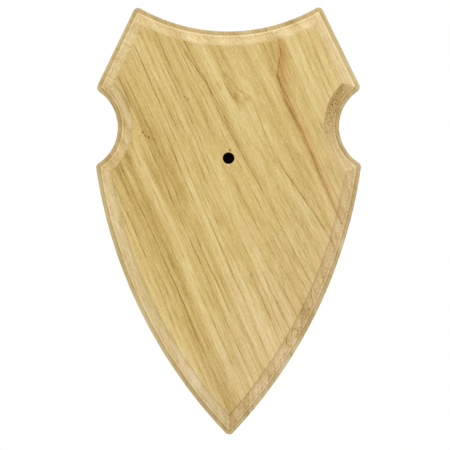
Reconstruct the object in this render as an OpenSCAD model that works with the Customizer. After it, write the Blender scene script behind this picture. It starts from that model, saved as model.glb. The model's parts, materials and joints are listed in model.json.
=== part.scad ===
// Wooden trophy shield: three edge-glued oak staves, cut to one outline and moulded round the edge,
// with a bore for the trophy's bolt and a keyhole hanger let in flush with the back.
// The plan is drawn in X and Y with the thickness along Z, and then stood up: X right, Z up, face to -Y.
// The origin is the centre of the hanger's eye, on the back.

/* [Outline] */
// Height from the top corners to the tip, before the corners are rounded
shield_h = 242.5; // [200:0.5:300]
// Width across the two top corners
top_w = 104; // [80:1:130]
// Depth of the hollow in the top edge
top_hollow = 14.5; // [6:0.5:18]
// Width across the shoulders, where the straight sides end
shoulder_w = 149.5; // [135:0.5:180]
// Drop from the top corners to the shoulders
shoulder_drop = 47; // [38:1:56]
// Width across the hips, where the side notches end
hip_w = 149.5; // [135:0.5:180]
// Drop from the top corners to the hips
hip_drop = 89.5; // [82:0.5:110]
// Depth of each side notch
notch_depth = 12.5; // [6:0.5:16]
// Bulge of each lower edge beyond a straight line from hip to tip
lower_bulge = 13.6; // [6:0.2:20]
// Rounding of the corners and the tip, seen from the front
corner_r = 3; // [1:0.25:5]

/* [Board] */
// Thickness of the board
board_t = 16; // [14:0.5:25]
// Slope of the grain and the glue joints from the vertical, in degrees
grain_angle = 23.7; // [0:0.1:35]
// How far outside the left shoulder's corner the left glue joint passes, square to the grain
left_joint = 2.7; // [0.5:0.1:8]
// Distance of the right glue joint from the bore, square to the grain
right_joint = 41; // [35:0.5:60]

/* [Moulding] */
// Width of the flat ledge along the outside
ledge_w = 2.3; // [1.5:0.1:4]
// Height of the square foot under the bead
foot_h = 0.5; // [0.2:0.1:1.5]
// Radius of the bead
bead_r = 2; // [1.8:0.1:3]
// Width of the bead, a little less than its radius, so that it still slopes where it meets the step
bead_w = 1.8; // [1:0.1:1.8]
// Height of the square step between bead and cove
step_h = 0.9; // [0.3:0.1:1.5]
// Radius of the cove
cove_r = 5; // [4.8:0.1:6]
// Width of the cove, a little less than its radius, so that it already slopes where it leaves the step
cove_w = 4.6; // [3:0.1:4.7]
// Bevel that eases the face's edge above the cove
arris = 0.3; // [0.1:0.05:0.6]
// Bevel that eases the outer edge, front and back
edge_bevel = 0.5; // [0.2:0.1:1]

/* [Trophy bore] */
// Diameter of the bore that takes the trophy's bolt
bore_d = 6.6; // [5:0.1:9]
// Drop from the top corners to the bore
bore_drop = 86; // [84:0.5:100]
// Diameter of the recess for the bolt's head and washer, in the back
head_recess_d = 14; // [12:0.5:18]
// Depth of that recess
head_recess_h = 5; // [3:0.5:7]

/* [Hanger] */
// Drop from the top corners to the hanger's eye
eye_drop = 46; // [44:0.5:48]
// Thickness of the hanger plate, which is let in flush
plate_t = 1.5; // [1:0.1:2]
// Width of the hanger plate
plate_w = 14; // [12:0.5:16]
// Diameter of the eye that the wall screw's head goes in by
eye_d = 9; // [8:0.1:10]
// Width of the slot that the wall screw's shank runs up
slot_w = 4.4; // [3.5:0.1:5]
// Rise of the slot above the eye
slot_rise = 9; // [7:0.5:10]
// Wood between the pocket under the plate and each fixing screw
screw_wall = 2; // [1:0.1:3]
// Clear space round the plate in its seat
seat_gap = 0.15; // [0.05:0.05:0.4]
// Depth of the pocket under the plate for the wall screw's head
pocket_h = 5; // [4:0.5:6]
// Clear space round the wall screw's head in that pocket
pocket_gap = 1; // [0.5:0.1:1.2]

/* [Hanger screws] */
// Diameter of the countersunk head
screw_head_d = 6; // [5:0.1:7]
// Diameter of the shank
screw_d = 3; // [2.5:0.1:3.5]
// Length under the plate's face
screw_l = 12; // [9:0.5:12]
// Clear space round the shank in its hole
screw_gap = 0.05; // [0.02:0.01:0.1]
// Length of the cross recess, tip to tip
driver_l = 3.2; // [2.5:0.1:3.8]
// Width of the cross recess
driver_w = 0.7; // [0.5:0.05:0.9]

/* [Hidden] */

$fa = 3;
$fs = 0.3;

// How far a cutter runs past the stock that it cuts
over = 1;
// How far a corner's cutter reaches, in times the rounding's radius
corner_reach = 4;
// A corner's rounding stands this far proud of the edges beside it, so that it crosses them: two surfaces
// that only touch leave slivers in an exact solid
crossing = 0.02;
// Sides of the long arcs in a preview
arc_sides = 360;
// Short straight runs that stand for the curves of the bead and the cove in the moulding's section
bead_steps = 5;
cove_steps = 10;

OAK_LEFT = [0.76, 0.64, 0.42];
OAK_CENTRE = [0.84, 0.73, 0.49];
OAK_RIGHT = [0.80, 0.67, 0.44];
HANGER_STEEL = [0.78, 0.76, 0.70];
SCREW_STEEL = [0.66, 0.66, 0.67];

// The right half's corners, from the top down
top_pt = [top_w / 2, eye_drop];
shoulder_pt = [shoulder_w / 2, eye_drop - shoulder_drop];
hip_pt = [hip_w / 2, eye_drop - hip_drop];
tip_pt = [0, eye_drop - shield_h];
bore_pt = [0, eye_drop - bore_drop];

// The straight side's direction
side_run = unit(shoulder_pt - top_pt);
side_turn = atan2(side_run.y, side_run.x);

// Radius and centre of each arc, from its chord and its depth
top_r = arc_radius(top_w, top_hollow);
top_centre = [0, eye_drop - top_hollow + top_r];
notch_r = arc_radius(norm(hip_pt - shoulder_pt), notch_depth);
notch_centre = middle(shoulder_pt, hip_pt) + (notch_r - notch_depth) * outward(shoulder_pt, hip_pt);
lower_r = arc_radius(norm(tip_pt - hip_pt), lower_bulge);
lower_centre = middle(hip_pt, tip_pt) - (lower_r - lower_bulge) * outward(hip_pt, tip_pt);

// The moulding's levels above the back, and its distances in from the outline
cove_z = board_t - half_chord_at(cove_r, cove_r - cove_w);
bead_z = cove_z - step_h - half_chord_at(bead_r, bead_r - bead_w);
ledge_z = bead_z - foot_h;
cove_x = ledge_w + bead_w;
cove_centre_x = cove_x + cove_w - cove_r;
// Where the cove runs into the bevel that eases the face's edge
arris_x = cove_centre_x + half_chord_at(cove_r, arris);
moulding_w = arris_x + arris;

// The fixing screws stand off the pocket's two round ends
pocket_r = eye_d / 2 + pocket_gap;
screw_head_h = (screw_head_d - screw_d) / 2;
screw_reach = pocket_r + screw_wall + screw_d / 2;
upper_screw_y = slot_rise + screw_reach;
lower_screw_y = -screw_reach;

// Where the left glue joint runs, square to the grain from the bore. It passes outside the left shoulder, or
// inside the left notch where the strip left at the hip would be narrower than the moulding, so that the
// left stave is always one piece.
outside_shoulder = across_grain([-shoulder_pt.x, shoulder_pt.y]) - left_joint;
hip_strip_w = outside_shoulder - across_grain([-hip_pt.x, hip_pt.y]);
inside_notch = across_grain([-notch_centre.x, notch_centre.y]) + notch_r + moulding_w + left_joint;
left_joint_u = hip_strip_w > moulding_w ? outside_shoulder : inside_notch;

// Distance of a point from the bore, square to the grain, with the right side positive
function across_grain(p) = (p - bore_pt) * [cos(grain_angle), sin(grain_angle)];
function arc_radius(chord, depth) = (chord * chord / 4 + depth * depth) / (2 * depth);
// Half the width of a circle of that radius, at a distance from its centre
function half_chord_at(r, distance) = sqrt(r * r - distance * distance);
function middle(a, b) = (a + b) / 2;
function unit(v) = v / norm(v);
// Unit vector that points out of the board, square to the edge that runs down the right side from a to b
function outward(a, b) = let (d = unit(b - a)) [-d.y, d.x];
// Where two circles meet: side 1 is left of the line from c1 to c2, and side -1 is right of it
function circles_meet(c1, r1, c2, r2, side) =
    let (d = c2 - c1, l = norm(d), u = d / l, a = (l * l + r1 * r1 - r2 * r2) / (2 * l))
    c1 + a * u + side * sqrt(r1 * r1 - a * a) * [-u.y, u.x];
// Where a line through p along the unit vector u meets a circle, at its first or (way 1) its second crossing
function line_meets_circle(p, u, c, r, way) =
    let (along = (c - p) * u, foot = p + along * u, off = norm(c - foot))
    foot + way * sqrt(r * r - off * off) * u;
// Points along an arc, from one angle to another
function arc_points(centre, r, from, to, steps) =
    [for (i = [0:steps]) let (t = from + (to - from) * i / steps) centre + r * [cos(t), sin(t)]];
// The point of a circle that is nearest to p
function on_circle(c, r, p) = c + r * unit(p - c);

// --- The board's outline and moulding -------------------------------------------------------------

// Section of what is cut away along an edge: x is the distance in from the outline, and y is the height
// above the back. The edge that it leaves has, from outside in, an eased rim with a flat ledge, a bead on a
// square foot, a small step, a cove, and the face's eased edge. The bevels run on past the back and the face.
module edge_waste(reach) {
    bead_end = 180 - acos((bead_r - bead_w) / bead_r);
    cove_start = -acos((cove_r - cove_w) / cove_r);
    cove_end = -asin(arris / cove_r);
    polygon(concat(
        [[-reach, -over], [edge_bevel + over, -over]],
        [[0, edge_bevel], [0, ledge_z - edge_bevel], [edge_bevel, ledge_z], [ledge_w, ledge_z]],
        arc_points([ledge_w + bead_r, bead_z], bead_r, 180, bead_end, bead_steps),
        arc_points([cove_centre_x, board_t], cove_r, cove_start, cove_end, cove_steps),
        [[moulding_w + over, board_t + over], [-reach, board_t + over]]
    ));
}

// An edge's cutter that is revolved about the centre of the edge's arc. It is turned as the straight side's
// cutter is, so that rounding in the matrices leaves the levels of all the cutters alike at the mitres.
module revolved(centre) {
    translate(centre) rotate(side_turn) rotate_extrude($fn = arc_sides) children();
}

// Cutter for an edge that curves inwards, such as a notch
module hollow_edge(centre, r, depth) {
    revolved(centre) translate([r, 0]) edge_waste(depth + over);
}

// Cutter for the lower edge, which curves outwards. It ends at the hip.
module lower_edge() {
    intersection() {
        revolved(lower_centre) translate([lower_r, 0]) mirror([1, 0]) edge_waste(2 * lower_bulge);
        translate([-hip_w / 2, hip_pt.y - shield_h, -2 * over])
            cube([2 * hip_w, shield_h, board_t + 4 * over]);
    }
}

// Cutter for the straight side
module side_edge() {
    translate(top_pt)
        rotate(side_turn)
            translate([-moulding_w, 0, 0])
                rotate([90, 0, 90])
                    linear_extrude(norm(shoulder_pt - top_pt) + 2 * moulding_w)
                        mirror([1, 0]) edge_waste(2 * over);
}

// Cutter for one corner: a wedge out from the rounding's centre, less the rounding itself
module corner_waste(centre, touch_a, touch_b) {
    translate([0, 0, -over])
        linear_extrude(board_t + 2 * over)
            difference() {
                polygon([
                    centre,
                    centre + corner_reach * (touch_a - centre),
                    centre + corner_reach * (touch_a + touch_b - 2 * centre),
                    centre + corner_reach * (touch_b - centre)
                ]);
                translate(centre) circle(r = corner_r);
            }
}

// The three corners of the right half
module side_corners() {
    set_in = corner_r - crossing;
    side_out = outward(top_pt, shoulder_pt);
    inner_pt = top_pt - set_in * side_out;

    top_c = line_meets_circle(inner_pt, side_run, top_centre, top_r + set_in, 1);
    corner_waste(top_c, on_circle(top_centre, top_r, top_c), top_c + set_in * side_out);

    shoulder_c = line_meets_circle(inner_pt, side_run, notch_centre, notch_r + set_in, -1);
    corner_waste(shoulder_c, shoulder_c + set_in * side_out, on_circle(notch_centre, notch_r, shoulder_c));

    hip_c = circles_meet(notch_centre, notch_r + set_in, lower_centre, lower_r - set_in, 1);
    corner_waste(hip_c, on_circle(notch_centre, notch_r, hip_c), on_circle(lower_centre, lower_r, hip_c));
}

// The tip, where the two lower edges meet
module tip_corner() {
    inner_r = lower_r - corner_r + crossing;
    tip_c = [0, lower_centre.y - sqrt(inner_r * inner_r - lower_centre.x * lower_centre.x)];
    right_touch = on_circle(lower_centre, lower_r, tip_c);
    corner_waste(tip_c, right_touch, [-right_touch.x, right_touch.y]);
}

// Blank that holds the whole outline, with stock to spare on the straight sides. Each lower edge has
// its arc's two tangents.
module stock() {
    spare = over * outward(top_pt, shoulder_pt);
    half_chord = norm(tip_pt - hip_pt) / 2;
    rise = half_chord * tan(asin(half_chord / lower_r));
    bulge_pt = middle(hip_pt, tip_pt) + rise * outward(hip_pt, tip_pt);
    right = [top_pt + spare, shoulder_pt + spare, hip_pt, bulge_pt];
    left = [for (i = [len(right) - 1:-1:0]) [-right[i].x, right[i].y]];
    linear_extrude(board_t) polygon(concat(right, [tip_pt], left));
}

module moulded_shield() {
    difference() {
        stock();
        hollow_edge(top_centre, top_r, top_hollow);
        for (side = [0, 1]) mirror([side, 0, 0]) {
            side_edge();
            hollow_edge(notch_centre, notch_r, notch_depth);
            lower_edge();
            side_corners();
        }
        tip_corner();
    }
}

// --- What is cut into the board -------------------------------------------------------------------

// A plate outline with round ends, from y_low to y_high along the middle line
module round_ended(y_low, y_high, r) {
    translate([0, y_low]) circle(r = r);
    translate([0, y_high]) circle(r = r);
    translate([-r, y_low]) square([2 * r, y_high - y_low]);
}

module hole(at, d, depth) {
    translate([at.x, at.y, -over]) cylinder(d = d, h = depth + over);
}

// Holes and countersinks for the two fixing screws, through the plate and into the board
module screw_holes() {
    for (y = [lower_screw_y, upper_screw_y]) {
        hole([0, y], screw_d + 2 * screw_gap, screw_l + screw_gap);
        translate([0, y, 0]) cylinder(d1 = screw_head_d, d2 = screw_d, h = screw_head_h);
    }
}

module board_cuts() {
    hole(bore_pt, bore_d, board_t + over);
    hole(bore_pt, head_recess_d, head_recess_h);
    translate([0, 0, -over])
        linear_extrude(plate_t + over) round_ended(lower_screw_y, upper_screw_y, plate_w / 2 + seat_gap);
    translate([0, 0, -over])
        linear_extrude(plate_t + pocket_h + over) round_ended(0, slot_rise, pocket_r);
    screw_holes();
}

// The band between two glue joints, given by their distances from the bore, square to the grain
module grain_band(from, to) {
    length = 2 * shield_h;
    translate(bore_pt)
        rotate(grain_angle)
            translate([from, -length / 2, -over]) cube([to - from, length, board_t + 2 * over]);
}

// --- The sub-parts, stood up in the part's frame ---------------------------------------------------

module stand_up() {
    rotate([90, 0, 0]) children();
}

module stave(from, to) {
    stand_up() intersection() {
        difference() {
            moulded_shield();
            board_cuts();
        }
        grain_band(from, to);
    }
}

module left_stave() {
    color(OAK_LEFT) stave(-shield_h, left_joint_u);
}

module centre_stave() {
    color(OAK_CENTRE) stave(left_joint_u, right_joint);
}

module right_stave() {
    color(OAK_RIGHT) stave(right_joint, shield_h);
}

module keyhole_hanger() {
    color(HANGER_STEEL) stand_up() difference() {
        linear_extrude(plate_t) difference() {
            round_ended(lower_screw_y, upper_screw_y, plate_w / 2);
            circle(d = eye_d);
            round_ended(0, slot_rise, slot_w / 2);
        }
        screw_holes();
    }
}

// A countersunk screw with its head in the plane z = 0, pointing up
module countersunk_screw() {
    point_l = screw_d;
    difference() {
        union() {
            cylinder(d1 = screw_head_d, d2 = screw_d, h = screw_head_h);
            cylinder(d = screw_d, h = screw_l - point_l);
            translate([0, 0, screw_l - point_l]) cylinder(d1 = screw_d, d2 = 0, h = point_l);
        }
        for (turn = [0, 90]) rotate(turn)
            translate([-driver_l / 2, -driver_w / 2, -over]) cube([driver_l, driver_w, screw_head_h + over]);
    }
}

module hanger_screws() {
    color(SCREW_STEEL) stand_up()
        for (y = [lower_screw_y, upper_screw_y]) translate([0, y, 0]) countersunk_screw();
}

left_stave();
centre_stave();
right_stave();
keyhole_hanger();
hanger_screws();
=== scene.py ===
"""Looks of the wooden plaque: sanded light oak on its three staves, dull zinc plate on the hanger and its
screws. The frame is the CAD's: X right, Z up, the moulded face towards -Y, and the origin at the centre of
the hanger's eye. Places are in metres in it, and only the wood's figure is laid out in mm."""

import json
import math

import bpy
from mathutils import Matrix, Vector


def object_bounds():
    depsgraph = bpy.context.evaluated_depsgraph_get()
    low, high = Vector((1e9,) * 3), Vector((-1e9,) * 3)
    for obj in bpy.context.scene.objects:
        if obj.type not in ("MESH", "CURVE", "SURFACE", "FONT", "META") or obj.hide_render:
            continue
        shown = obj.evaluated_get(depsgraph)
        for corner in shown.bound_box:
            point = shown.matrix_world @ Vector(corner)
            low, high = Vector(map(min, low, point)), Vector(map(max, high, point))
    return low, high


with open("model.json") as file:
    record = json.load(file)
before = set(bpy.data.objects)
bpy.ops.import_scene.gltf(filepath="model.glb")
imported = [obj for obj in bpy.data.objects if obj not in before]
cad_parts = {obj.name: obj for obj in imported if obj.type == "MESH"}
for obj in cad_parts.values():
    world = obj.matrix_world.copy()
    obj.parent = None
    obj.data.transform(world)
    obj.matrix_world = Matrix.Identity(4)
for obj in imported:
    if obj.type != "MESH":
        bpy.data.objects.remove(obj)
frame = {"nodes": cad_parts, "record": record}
nodes = frame["nodes"]
cad_low, cad_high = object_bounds()

MM_PER_M = 1000.0
STAVES = ("left_stave", "centre_stave", "right_stave")
bore_mount = next(mount for mount in frame["record"]["mounts"] if mount["name"] == "trophy_bore")

# --- Where things show in the photograph, in its 450 x 450 frame ------------------------------------

W = H = 450
EDGE_POINTS = {"left_x": 96.1, "right_x": 360.2, "top_y": 8.4, "bottom_y": 434.1}
# Each corner's point, with the way that the corner points in the picture
CORNER_POINTS = {
    "top_left_corner": ((136.2, 8.8), (-0.5, -1.0)),
    "top_right_corner": ((320.7, 9.3), (0.5, -1.0)),
    "left_shoulder": ((97.9, 86.7), (-1.0, 0.0)),
    "right_shoulder": ((359.2, 88.4), (1.0, 0.0)),
    "left_hip": ((96.7, 165.4), (-1.0, -0.35)),
    "right_hip": ((359.4, 164.0), (1.0, -0.35)),
    "tip": ((228.7, 433.8), (0.0, 1.0)),
}
BORE_POINT = (229.3, 158.8)

# --- Camera: straight on, from far enough for the edges to look square --------------------------------

CAMERA_DISTANCE = 1.5
CAMERA_LENS = 212.25
CAMERA_SENSOR = 36
CAMERA_AIM_X = -0.00207
CAMERA_AIM_Z = -0.07743
# The plaque is turned a little in the picture
CAMERA_ROLL = math.radians(-0.13)

camera = bpy.data.objects.new("camera", bpy.data.cameras.new("camera"))
bpy.context.scene.collection.objects.link(camera)
camera.data.lens = CAMERA_LENS
camera.data.sensor_width = CAMERA_SENSOR
camera.data.sensor_fit = "AUTO"
camera.data.clip_start = 0.01
camera.data.clip_end = 50
camera.matrix_world = (
    Matrix.Translation((CAMERA_AIM_X, -CAMERA_DISTANCE, CAMERA_AIM_Z))
    @ Matrix.Rotation(math.radians(90), 4, "X")
    @ Matrix.Rotation(CAMERA_ROLL, 4, "Z")
)
bpy.context.scene.camera = camera


# --- A small kit for shader graphs ------------------------------------------------------------------


def linear(r, g, b):
    """An 8-bit sRGB colour as the linear RGBA that a shader takes."""
    return tuple(
        c / 12.92 if c <= 0.04045 else ((c + 0.055) / 1.055) ** 2.4
        for c in (r / 255, g / 255, b / 255)
    ) + (1.0,)


class Graph:
    """Adds nodes to a tree. What works out a value or a colour returns its socket, and a plain number or
    colour can stand wherever a socket can."""

    def __init__(self, tree):
        self.tree = tree

    def add(self, kind, **settings):
        node = self.tree.nodes.new(kind)
        for name, value in settings.items():
            setattr(node, name, value)
        return node

    def feed(self, socket, value):
        if isinstance(value, bpy.types.NodeSocket):
            self.tree.links.new(value, socket)
        else:
            socket.default_value = value

    def math(self, operation, a, b=0.0, clamp=False):
        node = self.add("ShaderNodeMath", operation=operation, use_clamp=clamp)
        self.feed(node.inputs[0], a)
        self.feed(node.inputs[1], b)
        return node.outputs[0]

    def sum(self, *terms):
        total = terms[0]
        for term in terms[1:]:
            total = self.math("ADD", total, term)
        return total

    def times(self, a, b):
        return self.math("MULTIPLY", a, b)

    def dot(self, a, b):
        node = self.add("ShaderNodeVectorMath", operation="DOT_PRODUCT")
        self.feed(node.inputs[0], a)
        self.feed(node.inputs[1], b)
        return node.outputs["Value"]

    def vector(self, x, y, z):
        node = self.add("ShaderNodeCombineXYZ")
        for socket, value in zip(node.inputs, (x, y, z)):
            self.feed(socket, value)
        return node.outputs[0]

    def noise(self, vector, scale=1.0, detail=2.0, roughness=0.5):
        """Noise whose middle value is 0.5."""
        node = self.add("ShaderNodeTexNoise", noise_dimensions="3D")
        self.feed(node.inputs["Vector"], vector)
        node.inputs["Scale"].default_value = scale
        node.inputs["Detail"].default_value = detail
        node.inputs["Roughness"].default_value = roughness
        return node.outputs["Fac"]

    def ramp(self, value, low, high, out_low=0.0, out_high=1.0, smooth=True):
        """Takes low..high to out_low..out_high, and holds the end values outside."""
        node = self.add(
            "ShaderNodeMapRange",
            interpolation_type="SMOOTHSTEP" if smooth else "LINEAR",
            clamp=True,
        )
        self.feed(node.inputs["Value"], value)
        for name, limit in (
            ("From Min", low),
            ("From Max", high),
            ("To Min", out_low),
            ("To Max", out_high),
        ):
            self.feed(node.inputs[name], limit)
        return node.outputs["Result"]

    def bell(self, value, centre, width):
        """1 at the centre, falling smoothly to 0 a width away on each side."""
        off = self.math("ABSOLUTE", self.math("SUBTRACT", value, centre))
        return self.ramp(off, 0.0, width, 1.0, 0.0)

    def mix(self, factor, a, b, blend="MIX"):
        node = self.add("ShaderNodeMix", data_type="RGBA", blend_type=blend)
        self.feed(node.inputs["Factor"], factor)
        self.feed(node.inputs[6], a)
        self.feed(node.inputs[7], b)
        return node.outputs[2]

    def tint(self, share, colour, gain):
        """The colour times gain, as far as share goes."""
        return self.mix(share, colour, self.mix(1.0, colour, gain, "MULTIPLY"))

    def colours(self, value, stops):
        """A colour ramp through (position, colour) stops."""
        node = self.add("ShaderNodeValToRGB")
        self.feed(node.inputs["Fac"], value)
        elements = node.color_ramp.elements
        while len(elements) < len(stops):
            elements.new(0.5)
        for element, (position, colour) in zip(elements, stops):
            element.position = position
            element.color = colour
        return node.outputs["Color"]

    def bump(self, shader, height, strength, distance):
        node = self.add("ShaderNodeBump")
        node.inputs["Strength"].default_value = strength
        node.inputs["Distance"].default_value = distance
        self.feed(node.inputs["Height"], height)
        self.feed(shader.inputs["Normal"], node.outputs["Normal"])


def new_material(name):
    material = bpy.data.materials.new(name)
    material.use_nodes = True
    tree = material.node_tree
    shader = tree.nodes["Principled BSDF"]
    return material, Graph(tree), shader


def dress(node, material):
    """Gives a CAD node its finished material in every slot."""
    for slot in nodes[node].material_slots:
        slot.material = material


# --- Oak ----------------------------------------------------------------------------------------------

# The grain leans from the upper left to the lower right. ACROSS lies square to it in the face, and INTO
# points into the board. All of the wood's figure is placed by its distances in mm from the bore's middle
# line along ACROSS and ALONG.
GRAIN_ANGLE = math.radians(23.7)
ALONG = (math.sin(GRAIN_ANGLE), 0.0, -math.cos(GRAIN_ANGLE))
ACROSS = (math.cos(GRAIN_ANGLE), 0.0, math.sin(GRAIN_ANGLE))
INTO = (0.0, 1.0, 0.0)
BORE_Z = MM_PER_M * bore_mount["pos_m"][2]
# Places in mm along Y: the face, the step between cove and bead, the bead's crest, and the ledge outside it
FACE_Y = round(MM_PER_M * cad_low[1], 3)
STEP_Y = FACE_Y + 5.4
CREST_Y = FACE_Y + 6.5
LEDGE_Y = FACE_Y + 8.4

# How far the figure wanders and ripples across the grain, in mm from end to end
WANDER = 3.0
RIPPLE = 1.3
# Middle width of a growth ring in the face, in mm, and how far a ring runs across for each mm of depth
RING_W = 3.7
RING_SLANT = 0.75
# How many rings the changes of their width come to, from end to end, and how slowly it changes, in mm
RING_SPREAD = 3.0
RING_SPREAD_W = 13.0
RING_SPREAD_L = 400.0
# A ring's dark line is full this far into the ring, and gone again there, in shares of its width
RING_FULL = 0.08
RING_GONE = 0.36

# Layers of noise that run along the grain. width and length are in mm, offset gives each its own noise, and
# flat is how many times wider it is along the rings than through them.
LAYERS = {
    "broad": {"width": 10.0, "length": 140.0, "offset": 0.0, "flat": 3.0},
    "middle": {"width": 3.4, "length": 70.0, "offset": 7.0, "flat": 3.0},
    "thin": {"width": 1.2, "length": 32.0, "offset": 13.0, "flat": 2.0, "detail": 2.0},
    "fine": {"width": 0.6, "length": 12.0, "offset": 19.0, "detail": 2.0, "roughness": 0.6},
    "ring_breaks": {"width": 1.6, "length": 26.0, "offset": 23.0},
    "pores": {"width": 0.36, "length": 7.0, "offset": 31.0},
    "flecks": {"width": 0.6, "length": 1.6, "offset": 43.0, "detail": 2.0},
    "line_breaks": {"width": 0.8, "length": 15.0, "offset": 51.0},
    "red_mottle": {"width": 1.1, "length": 14.0, "offset": 71.0, "detail": 2.0},
    "spot_breaks": {"width": 0.8, "length": 2.2, "offset": 83.0},
}

# The colours of the oak's tones, from the darkest to the lightest
OAK_TONES = [
    (0.0, linear(136, 103, 42)),
    (0.25, linear(180, 147, 77)),
    (0.5, linear(209, 180, 112)),
    (0.75, linear(228, 204, 144)),
    (1.0, linear(243, 227, 178)),
]
MIDDLE_TONE = 0.57
# How much each thing changes the tone. Pores change it by END_PORE_TONE more on end grain.
BROAD_TONE = 0.64
MIDDLE_LAYER_TONE = 0.22
THIN_TONE = 0.24
FINE_TONE = 0.62
FLECK_TONE = 0.36
RING_TONE = -0.27
PORE_TONE = -0.2
END_PORE_TONE = -0.26
# The groove at the step between cove and bead is darkened with painted shade
GROOVE_SHADE_TONE = -0.14
# The bead's crest is lightened with a painted highlight
CREST_HIGHLIGHT_TONE = 0.11
# How much weaker rings and bands are below the face, and how strongly rings show on end grain
CUT_RING_LOSS = -0.6
CUT_BAND_LOSS = -0.8
END_RINGS = 0.8

# Linear gains. The upper left of the face is a little more yellow than its lower right.
UPPER_LEFT_GAIN = (1.0, 1.0, 0.985, 1.0)
LOWER_RIGHT_GAIN = (1.0, 1.0, 1.09, 1.0)
# What the cutter has opened in the moulding is paler than the face: partly paler cut wood, partly painted
# sheen
OPENED_PALE_AND_SHEEN_GAIN = (1.13, 1.19, 1.56, 1.0)
# The ledge and the sawn edge under it are greyer
RIM_GAIN = (0.88, 0.92, 1.06, 1.0)
RED_GAIN = linear(225, 194, 154)
# Torn wood and its open pores
TORN_GAIN = linear(240, 235, 218)
TORN_PORE_GAIN = linear(152, 134, 108)
# Where the torn wood fades, in mm: over these heights at its bottom, over these distances along X towards the
# rim, where AT_RIM of it is left, and at its top, which runs beside the shoulder's mitre. The top falls by
# TORN_TOP_SLOPE for each mm to the right, and TORN_TOP is where it would be at X = 0.
TORN_BOTTOM = (-36.0, -18.0)
TORN_SIDE = (62.0, 68.0)
AT_RIM = 0.15
TORN_TOP = (15.4, 16.0)
TORN_TOP_SLOPE = 0.209

# How rough sanded oak is, and how much rougher its pores and its end grain are
OAK_ROUGHNESS = 0.48
PORE_ROUGHNESS = 0.2
END_ROUGHNESS = 0.1
OAK_SPECULAR = 0.35
# How deep its relief is, in metres
RELIEF_DEPTH = 0.00012

# A mark fades in and out over this many mm at its ends. One that fades to its right over less than
# NARROW_MARK is a line of pores, with breaks in it.
MARK_FADE = 12.0
NARROW_MARK = 2.5
# A spot is stretched along the grain, and is full out to this share of its radius. A larger one than
# SMALL_SPOT is crumbly.
SPOT_STRETCH = 0.6
SPOT_CORE = 0.2
SMALL_SPOT = 1.0


class Wood:
    """Where a point lies in a stave's wood, as sockets in mm: across the grain, along it, and its depth along
    Y. q is how far across the figure it lies, and r is square to q and to the grain."""

    def __init__(self, g, seed, lean):
        self.g = g
        self.seed = seed
        where = g.add("ShaderNodeTexCoord").outputs["Object"]
        scaled = g.add("ShaderNodeVectorMath", operation="SCALE")
        g.feed(scaled.inputs[0], where)
        scaled.inputs["Scale"].default_value = MM_PER_M
        mm = scaled.outputs[0]
        across = g.math("SUBTRACT", g.dot(mm, ACROSS), BORE_Z * ACROSS[2])
        along = g.math("SUBTRACT", g.dot(mm, ALONG), BORE_Z * ALONG[2])
        depth = g.dot(mm, INTO)

        wander = g.noise(g.vector(g.times(across, 0.03), g.times(along, 0.012), seed), detail=1.0)
        ripple = g.noise(g.vector(g.times(across, 0.12), g.times(along, 0.045), seed + 5.0), detail=1.0)
        q = g.sum(
            across,
            g.times(g.math("SUBTRACT", wander, 0.5), WANDER),
            g.times(g.math("SUBTRACT", ripple, 0.5), RIPPLE),
            g.times(g.math("SUBTRACT", depth, FACE_Y), RING_SLANT),
        )
        if lean:
            q = g.math("SUBTRACT", q, g.times(lean(g, across), along))
        self.across, self.along, self.depth = across, along, depth
        self.q = q
        self.r = g.sum(depth, g.times(across, -RING_SLANT))

    def layer(self, name):
        """One of the LAYERS, about 0."""
        g = self.g
        its = {"detail": 1.0, "roughness": 0.5, "flat": 1.0, **LAYERS[name]}
        point = g.vector(
            g.times(self.q, 1 / its["width"]),
            g.times(self.along, 1 / its["length"]),
            g.math("ADD", g.times(self.r, 1 / (its["width"] * its["flat"])), self.seed + its["offset"]),
        )
        noise = g.noise(point, detail=its["detail"], roughness=its["roughness"])
        return g.math("SUBTRACT", noise, 0.5)

    def streak(self, path, width):
        """1 on the middle line of a mark that follows the grain, and 0 beside it. path is (along, across)
        points from the top down, and width is (left, right), how far it takes to fade out on each side."""
        g = self.g
        line = path[0][1]
        for (from_along, from_across), (to_along, to_across) in zip(path, path[1:]):
            step = g.ramp(self.along, from_along, to_along, 0.0, to_across - from_across, smooth=False)
            line = g.sum(line, step)
        off = g.math("SUBTRACT", self.across, line)
        left = g.ramp(off, -width[0], 0.0, 0.0, 1.0)
        right = g.ramp(off, 0.0, width[1], 1.0, 0.0)
        start, stop = path[0][0], path[-1][0]
        inside = g.times(
            g.ramp(self.along, start, start + MARK_FADE, 0.0, 1.0),
            g.ramp(self.along, stop - MARK_FADE, stop, 1.0, 0.0),
        )
        return g.times(g.times(left, right), inside)

    def spot(self, across, along, radius):
        """1 in the middle of a spot, and 0 outside it."""
        g = self.g
        off_across = g.math("SUBTRACT", self.across, across)
        off_along = g.times(g.math("SUBTRACT", self.along, along), SPOT_STRETCH)
        off = g.math("SQRT", g.sum(g.times(off_across, off_across), g.times(off_along, off_along)))
        return g.ramp(off, radius * SPOT_CORE, radius, 1.0, 0.0)


def end_grain_and_shade(g, lit_end_share):
    """1 where the moulding and the edge run across the grain and face down it, a given share where they face
    up it, and 0 elsewhere, so that the end grain that faces down carries painted shade besides its own
    colour. The face and the ledge are flat, so they face neither way."""
    normal = g.add("ShaderNodeNewGeometry").outputs["True Normal"]
    into = g.dot(normal, INTO)
    tilt = g.math("SQRT", g.math("SUBTRACT", 1.0, g.times(into, into), clamp=True))
    facing = g.math("DIVIDE", g.dot(normal, ALONG), g.math("MAXIMUM", tilt, 0.01))
    # End grain that faces up gets only a given share of this, which leaves painted shade on the end grain
    # facing down
    end = g.math("MAXIMUM", g.ramp(facing, 0.4, 0.8), g.ramp(facing, -0.9, -0.5, lit_end_share, 0.0))
    return g.times(end, g.ramp(tilt, 0.03, 0.12))


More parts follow.
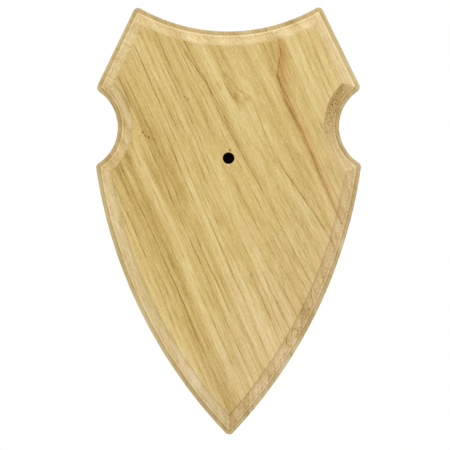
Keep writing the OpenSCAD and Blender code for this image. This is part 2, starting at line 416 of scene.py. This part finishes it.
def growth_rings(wood, shows):
    """Each ring starts with a sharp dark line of open pores, and pales from there. Gives where those lines
    lie, and how dark each is, as far as it shows."""
    g = wood.g
    spread_at = g.vector(
        g.times(wood.q, 1 / RING_SPREAD_W), g.times(wood.along, 1 / RING_SPREAD_L), wood.seed + 61.0
    )
    spread = g.noise(spread_at, detail=1.0)
    ring_at = g.sum(g.times(wood.q, 1 / RING_W), g.times(spread, RING_SPREAD))
    in_ring = g.math("FRACT", ring_at)
    chance = g.add("ShaderNodeTexWhiteNoise", noise_dimensions="1D")
    g.feed(chance.inputs["W"], g.sum(g.math("FLOOR", ring_at), wood.seed))
    lines = g.times(
        g.ramp(in_ring, 0.0, RING_FULL),
        g.ramp(in_ring, RING_FULL, RING_GONE, 1.0, 0.0),
    )
    alive = g.times(g.ramp(wood.layer("ring_breaks"), -0.2, 0.12), shows)
    return lines, g.times(g.times(lines, g.sum(0.25, chance.outputs["Value"])), alive)


def torn_wood(wood, opened):
    """Where the cutter has torn the upper half of the right notch, and the gain of its colour there."""
    g = wood.g
    height = g.sum(g.times(wood.across, ACROSS[2]), g.times(wood.along, ALONG[2]), BORE_Z)
    sideways = g.sum(g.times(wood.across, ACROSS[0]), g.times(wood.along, ALONG[0]))
    below_top = g.ramp(g.sum(height, g.times(sideways, TORN_TOP_SLOPE)), *TORN_TOP, 1.0, 0.0)
    where = g.times(g.times(opened, below_top), g.ramp(height, *TORN_BOTTOM))
    where = g.times(where, g.ramp(sideways, *TORN_SIDE, 1.0, AT_RIM))
    point = g.vector(wood.across, g.times(wood.along, 1.2), wood.depth)
    crumbs = g.noise(point, scale=0.95, detail=2.0, roughness=0.7)
    return where, g.mix(g.ramp(crumbs, 0.52, 0.64), TORN_GAIN, TORN_PORE_GAIN)


def oak(
    name,
    seed,
    tone,
    bands,
    end_colour,
    lit_end_share,
    marks=(),
    spots=(),
    reds=(),
    lean=None,
    figure=None,
    torn=False,
):
    """Sanded oak. tone shifts the stave's face lighter or darker. bands are (distance across the grain, half
    width, change of tone) for the stripes that run its whole length, marks are (path, width, change of tone)
    for single streaks and lines, and spots are (across, along, radius, change of tone). reds are (path,
    width, strength) of reddish-brown streaks. lean is how far the figure drifts across for each mm along, and
    figure is how strongly the growth rings show: both are functions of the graph and the distance across. End
    grain takes end_colour, and lit_end_share of it where it faces up. torn tears the notch's upper half."""
    material, g, shader = new_material(name)
    wood = Wood(g, seed, lean)
    # The end grain's mask, with painted shade on its down-facing side
    end = end_grain_and_shade(g, lit_end_share)

    # What the cutter has opened: 0 in the face and 1 below it, and 1 on the rim outside the moulding
    cut = g.ramp(wood.depth, FACE_Y + 0.2, FACE_Y + 4.0)
    rim = g.ramp(wood.depth, LEDGE_Y - 0.6, LEDGE_Y - 0.1)
    in_face = g.math("SUBTRACT", 1.0, cut)
    front = g.math("SUBTRACT", 1.0, rim)
    opened = g.times(cut, front)

    strength = figure(g, wood.across) if figure else 1.0
    ring_share = g.times(strength, g.sum(1.0, g.times(cut, CUT_RING_LOSS)))
    ring_lines, rings = growth_rings(wood, g.sum(ring_share, g.times(end, END_RINGS)))
    fine = wood.layer("fine")
    # Pores are most open in the rings' lines
    pores = g.ramp(wood.layer("pores"), 0.02, 0.2)
    pores = g.times(pores, g.sum(0.35, g.times(ring_lines, 0.65)))

    level = g.sum(
        MIDDLE_TONE,
        g.times(in_face, tone),
        g.times(wood.layer("broad"), BROAD_TONE),
        g.times(wood.layer("middle"), MIDDLE_LAYER_TONE),
        g.times(wood.layer("thin"), THIN_TONE),
        g.times(fine, FINE_TONE),
        g.times(wood.layer("flecks"), FLECK_TONE),
        g.times(rings, RING_TONE),
        g.times(pores, g.sum(PORE_TONE, g.times(end, END_PORE_TONE))),
        # Painted shade in the groove at the step between cove and bead
        g.times(g.bell(wood.depth, STEP_Y, 0.6), GROOVE_SHADE_TONE),
        # A painted highlight along the bead's crest
        g.times(g.bell(wood.depth, CREST_Y, 0.55), CREST_HIGHLIGHT_TONE),
    )
    stripes = 0.0
    for centre, width, change in bands:
        stripes = g.sum(stripes, g.times(g.bell(wood.q, centre, width), change))
    level = g.sum(level, g.times(stripes, g.sum(1.0, g.times(cut, CUT_BAND_LOSS))))
    line_breaks = g.ramp(wood.layer("line_breaks"), -0.22, 0.1, 0.35, 1.0)
    for path, width, change in marks:
        mark = g.times(wood.streak(path, width), change)
        level = g.sum(level, g.times(mark, line_breaks) if width[1] < NARROW_MARK else mark)
    spot_breaks = g.ramp(wood.layer("spot_breaks"), -0.16, 0.1, 0.2, 1.0)
    for across, along, radius, change in spots:
        spot = g.times(g.times(wood.spot(across, along, radius), change), front)
        level = g.sum(level, g.times(spot, spot_breaks) if radius > SMALL_SPOT else spot)

    colour = g.colours(level, OAK_TONES)
    lower_right = g.sum(g.times(wood.along, 0.5), g.times(wood.across, 0.35))
    warmth = g.mix(g.ramp(lower_right, 12.0, 42.0), UPPER_LEFT_GAIN, LOWER_RIGHT_GAIN)
    colour = g.tint(1.0, colour, warmth)
    if reds:
        red = 0.0
        for path, width, share in reds:
            red = g.math("MAXIMUM", red, g.times(wood.streak(path, width), share))
        mottle = g.ramp(wood.layer("red_mottle"), -0.2, 0.15, 0.5, 1.0)
        colour = g.tint(g.times(red, mottle), colour, RED_GAIN)
    # Paler cut wood and painted sheen in the moulding
    colour = g.tint(opened, colour, OPENED_PALE_AND_SHEEN_GAIN)
    colour = g.tint(end, colour, end_colour)
    # The rim is less grey towards the back
    grey = g.times(rim, g.ramp(wood.depth, LEDGE_Y + 0.6, LEDGE_Y + 4.0, 1.0, 0.35))
    colour = g.tint(grey, colour, RIM_GAIN)
    if torn:
        where, gain = torn_wood(wood, opened)
        colour = g.tint(where, colour, gain)

    g.feed(shader.inputs["Base Color"], colour)
    shader.inputs["Specular IOR Level"].default_value = OAK_SPECULAR
    rougher = (g.times(pores, PORE_ROUGHNESS), g.times(end, END_ROUGHNESS))
    g.feed(shader.inputs["Roughness"], g.sum(OAK_ROUGHNESS, *rougher))
    relief = g.sum(g.times(pores, -1.0), g.times(rings, -0.5), g.times(fine, 0.5))
    g.bump(shader, relief, strength=0.35, distance=RELIEF_DEPTH)
    return material


# What the photograph shows of the figure. Paths are (along, across) points from the top down.
# The dark line that passes the bore, and the one that sweeps round it further right
BORE_LINE = [(-75, 0.2), (-43, 5.2), (-26, 5.4), (-3, 7.2), (22, 9.6), (47, 11.3), (85, 13.8)]
RIGHT_LINE = [(-26, 24.4), (-12, 24.6), (-2, 23.9), (7, 24.3), (16, 25.1), (57, 33.0), (75, 35.0)]
# The reddish line in the right stave
RED_LINE = [(-58, 53.0), (-48, 52.0), (-42, 50.5), (-36, 46.2), (-31, 43.6), (-23, 42.7), (-14, 42.2)]
RED_LINE += [(-7, 42.8), (5, 43.9), (16, 43.3), (26, 42.9), (45, 42.6), (65, 43.5)]
# The dark stripe that it lies in, on both sides of the right joint, and what darkens that stripe's left
# side at the top
RED_SHADE = [(-60, 48.8), (-50, 48.0), (-36, 45.0), (-24, 42.2), (-12, 41.3), (6, 41.6)]
RED_SHADE += [(25, 43.0), (45, 45.4), (64, 48.0)]
RED_SIDE = [(-60, 43.5), (-42, 42.8), (-26, 41.0)]
# The reddest stretches beside it, at the top and at the bore's height
RED_TOP = [(-56, 53.5), (-40, 50.0), (-30, 46.0), (-18, 45.0)]
RED_RUN = [(-30, 43.0), (-14, 42.0), (4, 42.4), (20, 43.6), (36, 45.0)]

LEFT_MARKS = [
    ([(20, -72.5), (62, -69.8), (100, -67.9), (118, -67.3)], (4.5, 4.5), 0.14),
    ([(108, -60.0), (132, -58.6), (156, -58.0)], (5.0, 5.0), 0.06),
    ([(0, -68.0), (17, -68.1), (34, -68.0)], (3.0, 3.0), -0.08),
    ([(-46, -56.0), (-29, -55.0), (-12, -54.5)], (3.5, 3.5), -0.14),
    ([(0, -83.0), (40, -85.5), (64, -84.0)], (6.0, 6.0), 0.05),
    ([(-14, -64.0), (7, -63.6), (23, -61.6), (54, -60.0)], (4.0, 4.0), -0.06),
]
CENTRE_MARKS = [
    # Broad stripes
    ([(50, -20.0), (80, -20.0), (125, -18.0)], (7.0, 7.0), 0.12),
    ([(48, -9.0), (85, -8.0), (125, -7.0)], (6.0, 7.0), 0.1),
    ([(-105, -11.0), (-50, -8.0), (0, -6.0)], (6.0, 6.0), -0.08),
    ([(-95, -28.0), (-40, -29.0), (2, -32.0)], (16.0, 15.0), -0.1),
    ([(40, 30.0), (60, 32.0), (85, 33.0)], (5.0, 5.0), -0.05),
    ([(-60, -46.5), (-38, -45.8), (-14, -42.0), (8, -39.5), (30, -38.0)], (4.5, 4.5), -0.16),
    ([(-26, -43.5), (-12, -43.0), (1, -42.4), (18, -42.0)], (2.5, 2.5), -0.09),
    ([(-80, -31.5), (-50, -31.1), (-5, -30.8)], (4.0, 4.0), 0.12),
    ([(-24, -20.5), (8, -22.5), (26, -23.0)], (2.5, 2.5), -0.13),
    ([(-74, 15.0), (-54, 15.5), (-38, 16.5), (-20, 17.0)], (2.5, 2.5), -0.12),
    ([(68, 11.5), (88, 11.0), (106, 10.0)], (4.0, 4.0), 0.08),
    ([(82, -21.5), (105, -22.0), (126, -22.0)], (3.5, 3.5), 0.08),
    ([(-46, -52.5), (-31, -51.2), (-12, -49.5)], (4.0, 4.0), -0.16),
    ([(-80, -23.0), (-58, -22.5), (-33, -21.4), (-12, -21.0)], (4.0, 4.0), -0.07),
    ([(-55, -19.0), (-13, -18.0), (14, -18.0)], (4.0, 4.0), -0.14),
    ([(-85, 19.5), (-61, 19.0), (-40, 18.5), (-12, 16.5)], (6.0, 6.0), -0.13),
    ([(10, 22.0), (33, 24.0), (44, 28.0), (63, 30.0), (88, 30.0)], (6.0, 6.0), 0.11),
    ([(28, -18.0), (48, -17.5), (70, -17.5)], (3.5, 3.5), 0.08),
    ([(66, -13.0), (90, -14.2), (114, -15.0)], (5.0, 5.0), 0.06),
    ([(-75, 5.5), (-46, 5.8), (-24, 6.8)], (3.0, 3.5), 0.07),
    ([(-8, -3.6), (8, -4.0), (34, -2.5)], (3.5, 3.5), -0.07),
    (
        [(8, -31.0), (33, -32.0), (59, -34.8), (83, -37.2), (104, -38.7), (135, -38.0)],
        (3.5, 3.5),
        0.13,
    ),
    ([(16, -39.5), (38, -40.6), (59, -43.4), (80, -45.5)], (3.5, 3.5), -0.08),
    (RED_SHADE, (4.5, 4.5), -0.13),
    (RED_SIDE, (4.0, 3.0), -0.12),
    # The dark lines, each with a soft shade to its right
    (BORE_LINE, (0.7, 2.2), -0.1),
    (BORE_LINE, (0.4, 0.8), -0.2),
    (RIGHT_LINE, (0.7, 2.2), -0.12),
    (RIGHT_LINE, (0.4, 0.8), -0.26),
    # Cathedral marks at the top
    ([(-46, 11.0), (-38, 14.5), (-30, 16.2), (-24, 19.0)], (0.7, 1.5), -0.22),
    ([(-46, 18.5), (-33, 20.0), (-27, 24.5), (-18, 24.6)], (0.7, 1.8), -0.2),
]
RIGHT_MARKS = [
    (RED_LINE, (0.5, 0.9), -0.24),
    (RED_LINE, (2.0, 5.0), -0.06),
    (RED_SHADE, (4.5, 4.5), -0.13),
    ([(-60, 47.5), (-50, 47.0), (-34, 45.0)], (5.0, 4.0), -0.1),
    (RED_SIDE, (4.0, 3.0), -0.12),
    ([(-2, 56.5), (13, 56.7), (30, 57.0)], (3.5, 3.5), -0.1),
    ([(-28, 50.5), (-10, 50.1), (8, 50.0)], (4.0, 4.0), 0.09),
    ([(-66, 62.5), (-27, 64.6), (-4, 66.0)], (4.5, 4.5), -0.1),
    ([(-80, 68.0), (-56, 68.9), (-40, 69.0)], (6.0, 6.0), 0.12),
]
CENTRE_SPOTS = [
    # Smudges beside the cathedral marks
    (11.3, -38.6, 2.2, -0.2),
    (17.4, -29.5, 2.6, -0.2),
    (22.9, -26.4, 2.4, -0.24),
    (17.2, -43.5, 1.8, -0.2),
    # Specks
    (-38.2, -32.6, 0.7, -0.45),
    (-37.5, -30.2, 0.6, -0.35),
    (-36.2, -28.6, 0.7, -0.4),
    (-40.0, -31.2, 0.5, -0.3),
    (-7.5, -39.3, 0.7, -0.4),
    (-8.8, -41.4, 0.6, -0.35),
    # The nick and the splinter at the bore
    (2.5, -3.7, 0.7, -0.6),
    (-1.8, 3.6, 0.7, 0.35),
    # Dark patches where the moulding runs across the grain
    (3.5, 95.8, 3.6, -0.16),
    (-4.0, 106.5, 5.0, -0.32),
    (-10.9, 106.4, 2.6, -0.16),
    (-15.5, 116.5, 3.4, -0.22),
    (-28.8, 120.4, 3.2, -0.18),
    (-49.3, 131.6, 3.8, -0.2),
    (40.0, 67.0, 4.5, -0.24),
    # A dark patch at the left shoulder
    (-48.6, -64.7, 4.0, -0.16),
]


def centre_lean(g, across):
    """The figure drifts to the right as it runs down, most of all right of the bore."""
    return g.ramp(across, -14.0, 8.0, 0.0, 0.09)


def centre_figure(g, across):
    """The rings show most in the left two thirds."""
    return g.ramp(across, 0.0, 16.0, 1.0, 0.35)


def even_figure(g, across):
    """The rings show evenly, at a little over half their strength."""
    return 0.6


dress(
    "left_stave",
    oak(
        "left_oak",
        seed=3.0,
        tone=-0.05,
        end_colour=linear(232, 220, 200),
        lit_end_share=0.25,
        bands=[(-54.5, 3.5, -0.14), (-58.5, 3.0, -0.13), (-63.0, 2.5, -0.07), (-69.0, 3.0, 0.08)],
        marks=LEFT_MARKS,
    ),
)
dress(
    "centre_stave",
    oak(
        "centre_oak",
        seed=11.0,
        tone=0.0,
        end_colour=linear(246, 240, 228),
        lit_end_share=0.0,
        bands=[
            (-53.0, 4.5, -0.18),
            (-44.5, 3.5, 0.09),
            (-37.0, 2.5, -0.1),
            (-31.0, 2.5, -0.14),
            (-22.0, 6.0, 0.08),
            (0.5, 3.0, -0.07),
            (10.5, 3.0, -0.06),
        ],
        marks=CENTRE_MARKS,
        spots=CENTRE_SPOTS,
        lean=centre_lean,
        figure=centre_figure,
    ),
)
dress(
    "right_stave",
    oak(
        "right_oak",
        seed=23.0,
        tone=0.0,
        end_colour=linear(243, 235, 218),
        lit_end_share=0.0,
        bands=[(56.0, 3.5, 0.14), (61.0, 4.0, 0.05), (69.0, 2.0, -0.06), (73.0, 3.0, 0.05)],
        marks=RIGHT_MARKS,
        reds=[(RED_LINE, (1.5, 7.0), 0.45), (RED_TOP, (3.5, 6.0), 0.8), (RED_RUN, (2.0, 6.0), 0.65)],
        figure=even_figure,
        torn=True,
    ),
)


# --- Plated steel ---------------------------------------------------------------------------------------


# How finely the film clouds, and how finely the scratches, which run along Z, follow each other, per metre
CLOUDS = 260.0
SCRATCHES = (4000.0, 4000.0, 180.0)
# The lightest and the darkest zinc, against its middle colour
ZINC_LIGHT = 1.25
ZINC_DARK = 0.7


def zinc(name, colour):
    """Dull zinc plate with a cloudy film and fine scratches."""
    material, g, shader = new_material(name)
    where = g.add("ShaderNodeTexCoord").outputs["Object"]
    cloud = g.noise(where, scale=CLOUDS, detail=3.0)
    stretch = g.add("ShaderNodeMapping")
    g.feed(stretch.inputs["Vector"], where)
    stretch.inputs["Scale"].default_value = SCRATCHES
    scratch = g.noise(stretch.outputs[0])
    tone = g.sum(g.times(cloud, 0.7), g.times(scratch, 0.3))
    light = tuple(min(1.0, c * ZINC_LIGHT) for c in colour[:3]) + (1.0,)
    dark = tuple(c * ZINC_DARK for c in colour[:3]) + (1.0,)
    g.feed(shader.inputs["Base Color"], g.colours(tone, [(0.3, dark), (0.7, light)]))
    shader.inputs["Metallic"].default_value = 1.0
    g.feed(shader.inputs["Roughness"], g.ramp(tone, 0.2, 0.8, 0.28, 0.48))
    g.bump(shader, scratch, strength=0.2, distance=0.00005)
    return material


dress("keyhole_hanger", zinc("hanger_zinc", linear(196, 190, 172)))
dress("hanger_screws", zinc("screw_zinc", linear(182, 182, 186)))

# --- Stage: a pale floor, a white background, and soft light from above ------------------------------------

FLOOR_Z = -1.0
FLOOR_REACH = 2.2
# The disc that closes the bore, 5.5 mm in from the back
BORE_RADIUS = bore_mount["dims"]["r_mm"] / MM_PER_M
DISC_Y = -0.0055
DISC_SIDES = 48
# What lights the plaque from the world: all round, more from above, and more from in front
LIGHT_AROUND = 0.69
LIGHT_ABOVE = 0.3
LIGHT_IN_FRONT = 0.46
# The world's brightest side is a little to the right of straight up
UP = (0.1, 0.0, 0.995)


def flat_mesh(name, points, colour, roughness, specular):
    """A mesh of one flat face in one plain colour."""
    mesh = bpy.data.meshes.new(name)
    mesh.from_pydata(points, [], [tuple(range(len(points)))])
    thing = bpy.data.objects.new(name, mesh)
    bpy.context.scene.collection.objects.link(thing)
    material, _, shader = new_material(name)
    shader.inputs["Base Color"].default_value = colour
    shader.inputs["Roughness"].default_value = roughness
    shader.inputs["Specular IOR Level"].default_value = specular
    mesh.materials.append(material)
    return thing


floor_corners = [
    (x * FLOOR_REACH, y * FLOOR_REACH, FLOOR_Z) for x, y in ((-1, -1), (1, -1), (1, 1), (-1, 1))
]
floor = flat_mesh("floor", floor_corners, linear(222, 221, 218), roughness=0.9, specular=0.5)

# A dark disc closes the bore from inside, because the photograph shows it black on a white ground
ring = [
    (
        BORE_RADIUS * math.cos(math.tau * i / DISC_SIDES),
        DISC_Y,
        BORE_Z / MM_PER_M + BORE_RADIUS * math.sin(math.tau * i / DISC_SIDES),
    )
    for i in range(DISC_SIDES)
]
bore_shade = flat_mesh("bore_shade", ring, linear(30, 26, 20), roughness=1.0, specular=0.0)

world = bpy.data.worlds.new("world")
bpy.context.scene.world = world
world.use_nodes = True
g = Graph(world.node_tree)
background = world.node_tree.nodes["Background"]
background.inputs["Color"].default_value = (1.0, 1.0, 1.0, 1.0)
direction = g.add("ShaderNodeTexCoord").outputs["Generated"]
above = g.dot(direction, UP)
in_front = g.math("MAXIMUM", g.dot(direction, (0.0, -1.0, 0.0)), 0.0)
light_path = g.add("ShaderNodeLightPath").outputs
seen = g.math(
    "MAXIMUM",
    light_path["Is Camera Ray"],
    g.math("MAXIMUM", light_path["Is Glossy Ray"], light_path["Is Transmission Ray"]),
)
# White wherever it is seen, and the light that falls on the plaque elsewhere
lighting = g.sum(LIGHT_AROUND, g.times(above, LIGHT_ABOVE), g.times(in_front, LIGHT_IN_FRONT))
g.feed(
    background.inputs["Strength"],
    g.sum(seen, g.times(g.math("SUBTRACT", 1.0, seen), lighting)),
)


KEY_PLACE = Vector((-0.1, -0.9, 1.1))
KEY_TARGET = Vector((0.0, 0.0, -0.08))
KEY_SIZE = 0.7
KEY_POWER = 1.2

key = bpy.data.objects.new("key", bpy.data.lights.new("key", "AREA"))
key.data.shape = "SQUARE"
key.data.size = KEY_SIZE
key.data.energy = KEY_POWER
key.location = KEY_PLACE
key.rotation_euler = (KEY_TARGET - KEY_PLACE).to_track_quat("-Z", "Y").to_euler()
bpy.context.scene.collection.objects.link(key)

bpy.context.scene.view_settings.view_transform = "Standard"

# --- How far things show from their points -----------------------------------------------------------------


def on_picture(point):
    """Where a point of the frame shows in the photograph's frame."""
    x, y, z = camera.matrix_world.inverted() @ Vector(point)
    span = max(W, H)
    scale = camera.data.lens / camera.data.sensor_width * span / -z
    return (
        W / 2 + x * scale - camera.data.shift_x * span,
        H / 2 - y * scale + camera.data.shift_y * span,
    )


bpy.context.view_layer.update()
shown = [on_picture(v.co) for name in STAVES for v in nodes[name].data.vertices]
found = {
    "left_x": min(x for x, y in shown),
    "right_x": max(x for x, y in shown),
    "top_y": min(y for x, y in shown),
    "bottom_y": max(y for x, y in shown),
}
errors = {name: round(found[name] - value, 2) for name, value in EDGE_POINTS.items()}
for name, ((x, y), (way_x, way_y)) in CORNER_POINTS.items():
    near = [p for p in shown if math.hypot(p[0] - x, p[1] - y) < 12]
    tip = max(near, key=lambda p: p[0] * way_x + p[1] * way_y)
    errors[name] = [round(tip[0] - x, 2), round(tip[1] - y, 2)]
bore_x, bore_y = on_picture((0.0, -0.016, BORE_Z / 1000))
errors["bore"] = [round(bore_x - BORE_POINT[0], 2), round(bore_y - BORE_POINT[1], 2)]
